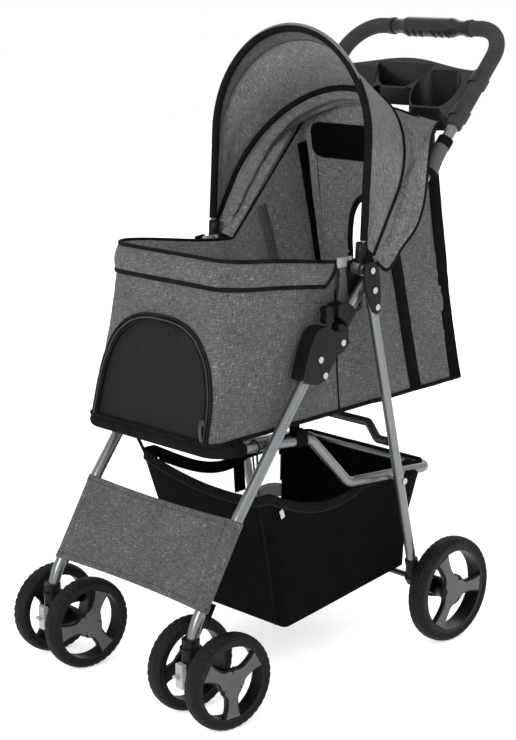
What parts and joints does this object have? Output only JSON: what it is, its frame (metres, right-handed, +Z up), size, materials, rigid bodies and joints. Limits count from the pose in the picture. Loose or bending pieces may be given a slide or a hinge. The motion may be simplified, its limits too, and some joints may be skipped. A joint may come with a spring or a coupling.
{
  "type": "pet stroller",
  "caption": "Folding pet stroller: tubular steel frame with fabric cabin and canopy, storage basket, handle tray, twin-wheel casters and larger rear wheels.",
  "frame": {"origin": "on the floor, under the middle of the bounding box", "axes": "+Z up; the front of the stroller faces -Y; +X is the pusher's left"},
  "size_m": [0.4602, 0.7632, 1.0035],
  "materials": {
    "tube_steel": "satin silver-grey powder coat",
    "rivet_metal": "polished domed rivets",
    "axle_steel": "dark plated",
    "black_plastic": "fine moulded texture",
    "grip_foam": "closed-cell foam",
    "tyre": "matte with shallow tread",
    "wheel_plastic": "semi-gloss",
    "wheel_insert": "satin mid-grey",
    "lock_plastic": "satin light grey",
    "grey_fabric": "heather-grey woven polyester with black binding",
    "black_fabric": "black woven polyester",
    "board_fabric": "dark lining over a stiff board"
  },
  "bodies": {
    "rear_frame": {"rear_leg_left": "tube_steel", "rear_leg_right": "tube_steel", "rear_cross_tube": "tube_steel", "hinge_bracket_left": "black_plastic", "hinge_bracket_right": "black_plastic", "hinge_rivets": "rivet_metal", "axle_bracket_left": "black_plastic", "axle_bracket_right": "black_plastic", "rear_axle_rod": "axle_steel", "axle_caps": "black_plastic"},
    "handle": {"handle_tube": "tube_steel", "foam_sleeves": "grip_foam", "centre_grip": "grip_foam", "tray": "black_plastic", "latch_bracket_left": "black_plastic", "latch_bracket_right": "black_plastic"},
    "hook_left": {"latch_hook_left": "black_plastic"},
    "hook_right": {"latch_hook_right": "black_plastic"},
    "front_frame": {"front_leg_left": "tube_steel", "front_leg_right": "tube_steel", "latch_shell_left": "black_plastic", "latch_shell_right": "black_plastic", "latch_rivets": "rivet_metal", "caster_sockets": "black_plastic", "footrest_panel": "grey_fabric"},
    "caster_left": {"caster_fork_left": "black_plastic", "front_axle_left": "axle_steel"},
    "caster_right": {"caster_fork_right": "black_plastic", "front_axle_right": "axle_steel"},
    "lock_left": {"swivel_lock_left": "lock_plastic"},
    "lock_right": {"swivel_lock_right": "lock_plastic"},
    "wheel_front_left_outer": {"front_tyre_left_outer": "tyre", "front_rim_left_outer": "wheel_plastic", "front_insert_left_outer": "wheel_insert"},
    "wheel_front_left_inner": {"front_tyre_left_inner": "tyre", "front_rim_left_inner": "wheel_plastic", "front_insert_left_inner": "wheel_insert"},
    "wheel_front_right_inner": {"front_tyre_right_inner": "tyre", "front_rim_right_inner": "wheel_plastic", "front_insert_right_inner": "wheel_insert"},
    "wheel_front_right_outer": {"front_tyre_right_outer": "tyre", "front_rim_right_outer": "wheel_plastic", "front_insert_right_outer": "wheel_insert"},
    "wheel_rear_left": {"rear_tyre_left": "tyre", "rear_rim_left": "wheel_plastic", "rear_insert_left": "wheel_insert"},
    "brake_left": {"brake_pedal_left": "black_plastic"},
    "wheel_rear_right": {"rear_tyre_right": "tyre", "rear_rim_right": "wheel_plastic", "rear_insert_right": "wheel_insert"},
    "brake_right": {"brake_pedal_right": "black_plastic"},
    "seat_frame": {"seat_tube": "tube_steel", "seat_rivets": "rivet_metal", "floor_board": "board_fabric", "cabin_shell": "grey_fabric", "basket_bag": "black_fabric"},
    "canopy_front": {"canopy_bow_front": "tube_steel"},
    "canopy_middle": {"canopy_bow_middle": "tube_steel", "canopy_cover": "grey_fabric"}
  },
  "joints": [
    {"name": "fold", "type": "hinge", "parent": "rear_frame", "child": "handle", "pos_m": [0, 0.018, 0.607], "axis": [1, 0, 0], "range_deg": [-76, 0], "deforming": ["cabin_shell", "basket_bag", "canopy_cover"]},
    {"name": "front_leg_fold", "type": "hinge", "parent": "handle", "child": "front_frame", "pos_m": [0, -0.035, 0.531], "axis": [1, 0, 0], "range_deg": [0, 99.85]},
    {"name": "seat_fold", "type": "hinge", "parent": "rear_frame", "child": "seat_frame", "pos_m": [0, 0.098, 0.287], "axis": [1, 0, 0], "range_deg": [-15.19, 0]},
    {"name": "canopy", "type": "hinge", "parent": "rear_frame", "child": "canopy_front", "pos_m": [0, 0.012, 0.638], "axis": [1, 0, 0], "range_deg": [-30, 35], "deforming": ["canopy_cover"]},
    {"name": "canopy_stay", "type": "hinge", "parent": "rear_frame", "child": "canopy_middle", "pos_m": [0, 0.012, 0.638], "axis": [1, 0, 0], "range_deg": [-13, 15], "deforming": ["canopy_cover"]},
    {"name": "latch_hook_left", "type": "hinge", "parent": "handle", "child": "hook_left", "pos_m": [0.164, -0.033, 0.581], "axis": [1, 0, 0], "range_deg": [-30, 0], "stiffness_Nm_per_rad": 0.4, "springref_deg": 8.59},
    {"name": "caster_swivel_left", "type": "hinge", "parent": "front_frame", "child": "caster_left", "pos_m": [0.164, -0.339, 0.1], "axis": [0, 0, 1], "continuous": true},
    {"name": "swivel_lock_left", "type": "slide", "parent": "caster_left", "child": "lock_left", "axis": [0, 0, 1], "range_m": [0, 0.008]},
    {"name": "brake_left", "type": "hinge", "parent": "rear_frame", "child": "brake_left", "pos_m": [0.166, 0.201, 0.066], "axis": [1, 0, 0], "range_deg": [-20, 0]},
    {"name": "wheel_rear_left", "type": "hinge", "parent": "rear_frame", "child": "wheel_rear_left", "pos_m": [0.2095, 0.191, 0.088], "axis": [1, 0, 0], "continuous": true},
    {"name": "wheel_front_left_outer", "type": "hinge", "parent": "caster_left", "child": "wheel_front_left_outer", "pos_m": [0.2122, -0.31009, 0.0735], "axis": [0.9962, -0.0872, 0], "continuous": true},
    {"name": "wheel_front_left_inner", "type": "hinge", "parent": "caster_left", "child": "wheel_front_left_inner", "pos_m": [0.12155, -0.30216, 0.0735], "axis": [0.9962, -0.0872, 0], "continuous": true},
    {"name": "latch_hook_right", "type": "hinge", "parent": "handle", "child": "hook_right", "pos_m": [-0.164, -0.033, 0.581], "axis": [1, 0, 0], "range_deg": [-30, 0], "stiffness_Nm_per_rad": 0.4, "springref_deg": 8.59},
    {"name": "caster_swivel_right", "type": "hinge", "parent": "front_frame", "child": "caster_right", "pos_m": [-0.164, -0.339, 0.1], "axis": [0, 0, 1], "continuous": true},
    {"name": "swivel_lock_right", "type": "slide", "parent": "caster_right", "child": "lock_right", "axis": [0, 0, 1], "range_m": [0, 0.008]},
    {"name": "brake_right", "type": "hinge", "parent": "rear_frame", "child": "brake_right", "pos_m": [-0.166, 0.201, 0.066], "axis": [1, 0, 0], "range_deg": [-20, 0]},
    {"name": "wheel_rear_right", "type": "hinge", "parent": "rear_frame", "child": "wheel_rear_right", "pos_m": [-0.2095, 0.191, 0.088], "axis": [1, 0, 0], "continuous": true},
    {"name": "wheel_front_right_inner", "type": "hinge", "parent": "caster_right", "child": "wheel_front_right_inner", "pos_m": [-0.1158, -0.31009, 0.0735], "axis": [0.9962, -0.0872, 0], "continuous": true},
    {"name": "wheel_front_right_outer", "type": "hinge", "parent": "caster_right", "child": "wheel_front_right_outer", "pos_m": [-0.20645, -0.30216, 0.0735], "axis": [0.9962, -0.0872, 0], "continuous": true}
  ],
  "couplings": [
    {"joint": "front_leg_fold", "follows": "fold", "ratio": -1.3072},
    {"joint": "seat_fold", "follows": "fold", "ratio": 0.19324},
    {"joint": "canopy_stay", "follows": "canopy", "ratio": 0.4}
  ]
}
